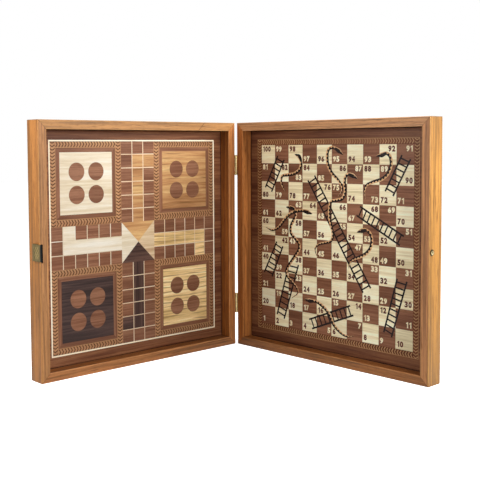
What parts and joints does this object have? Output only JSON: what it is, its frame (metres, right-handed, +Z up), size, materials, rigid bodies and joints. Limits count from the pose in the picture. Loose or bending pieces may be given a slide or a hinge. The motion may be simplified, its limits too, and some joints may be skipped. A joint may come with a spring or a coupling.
{
  "type": "folding game board case",
  "caption": "Square wooden two-tray case on butt hinges, standing open like a book, with an inlaid race game in one well and a snakes and ladders grid in the other.",
  "frame": {"origin": "middle of the footprint of the standing case, on the surface that it stands on", "axes": "+Z up along the hinge pins, +Y out of the left tray's back, and the left tray runs along X from its clasp at -X to the hinges at +X; the right tray opens 91.5 degrees from it, towards -Y"},
  "size_m": [0.3821, 0.371, 0.34],
  "materials": {
    "rail_wood": "solid hardwood with straight open grain, thin satin varnish",
    "core_wood": "plywood, hidden between the veneers",
    "inner_veneer": "dark veneer inlaid with pale, golden, olive and black woods, satin varnish",
    "outer_veneer": "dark veneer inlaid with pale wood, satin varnish",
    "brass": "brushed brass, slightly dulled",
    "screw_brass": "turned brass, slightly dulled"
  },
  "bodies": {
    "left_tray": {"left_bottom_rail": "rail_wood", "left_top_rail": "rail_wood", "left_hinge_stile": "rail_wood", "left_clasp_stile": "rail_wood", "left_panel_core": "core_wood", "ludo_face": "inner_veneer", "chess_face": "outer_veneer", "upper_hinge_left_leaf": "brass", "upper_hinge_pin": "brass", "upper_hinge_left_screw_1": "screw_brass", "upper_hinge_left_screw_2": "screw_brass", "lower_hinge_left_leaf": "brass", "lower_hinge_pin": "brass", "lower_hinge_left_screw_1": "screw_brass", "lower_hinge_left_screw_2": "screw_brass", "clasp_plate": "brass", "clasp_pin": "brass", "clasp_screw_1": "screw_brass", "clasp_screw_2": "screw_brass"},
    "right_tray": {"right_bottom_rail": "rail_wood", "right_top_rail": "rail_wood", "right_hinge_stile": "rail_wood", "right_clasp_stile": "rail_wood", "right_panel_core": "core_wood", "snakes_and_ladders_face": "inner_veneer", "backgammon_face": "outer_veneer", "upper_hinge_right_leaf": "brass", "upper_hinge_right_screw_1": "screw_brass", "upper_hinge_right_screw_2": "screw_brass", "lower_hinge_right_leaf": "brass", "lower_hinge_right_screw_1": "screw_brass", "lower_hinge_right_screw_2": "screw_brass", "clasp_stud": "brass", "clasp_stud_ring": "brass"},
    "clasp_flap": {"clasp_flap": "brass"}
  },
  "joints": [
    {"name": "case_fold", "type": "hinge", "parent": "left_tray", "child": "right_tray", "pos_m": [0.15433, 0.15772, 0.17], "axis": [0, 0, 1], "range_deg": [-91.5, 88.5]},
    {"name": "clasp_swing", "type": "hinge", "parent": "left_tray", "child": "clasp_flap", "pos_m": [-0.18947, 0.17042, 0.17], "axis": [0, 0, -1], "range_deg": [0, 150]}
  ]
}
